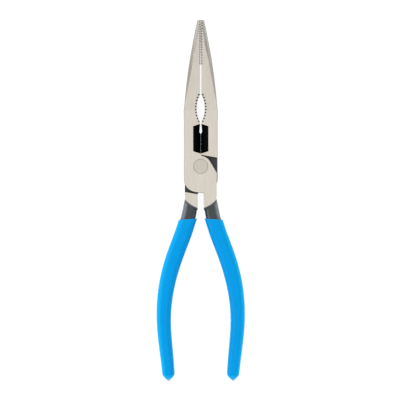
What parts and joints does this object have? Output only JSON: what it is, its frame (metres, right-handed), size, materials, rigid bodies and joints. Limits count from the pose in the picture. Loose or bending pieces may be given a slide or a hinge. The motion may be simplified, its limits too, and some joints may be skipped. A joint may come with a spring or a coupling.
{
  "type": "long-nose pliers",
  "caption": "Long-nose side-cutting pliers: lapped, riveted steel levers with a serrated nose, pipe grip, cutter and dipped blue grips.",
  "frame": {"origin": "where the pivot's axis meets the plane that the tool lies on, in the middle of the rivet's flush rear head", "axes": "+Y along the tool towards the jaw tips, +Z along the pivot from the rear face to the front face, +X across to the right-hand jaw as seen from the front"},
  "size_m": [0.0504, 0.206, 0.011],
  "materials": {
    "ground_steel": "ground faces with a fine grain along the tool, as-forged black elsewhere",
    "rivet_steel": "ground flush with the joint",
    "blue_vinyl": "smooth glossy dipped vinyl"
  },
  "bodies": {
    "rear_half": {"rear_lever": "ground_steel", "left_grip": "blue_vinyl"},
    "front_half": {"front_lever": "ground_steel", "pivot_rivet": "rivet_steel", "right_grip": "blue_vinyl"}
  },
  "joints": [
    {"name": "jaw_pivot", "type": "hinge", "parent": "rear_half", "child": "front_half", "pos_m": [0, 0, 0.0055], "axis": [0, 0, 1], "range_deg": [0, 48]}
  ]
}
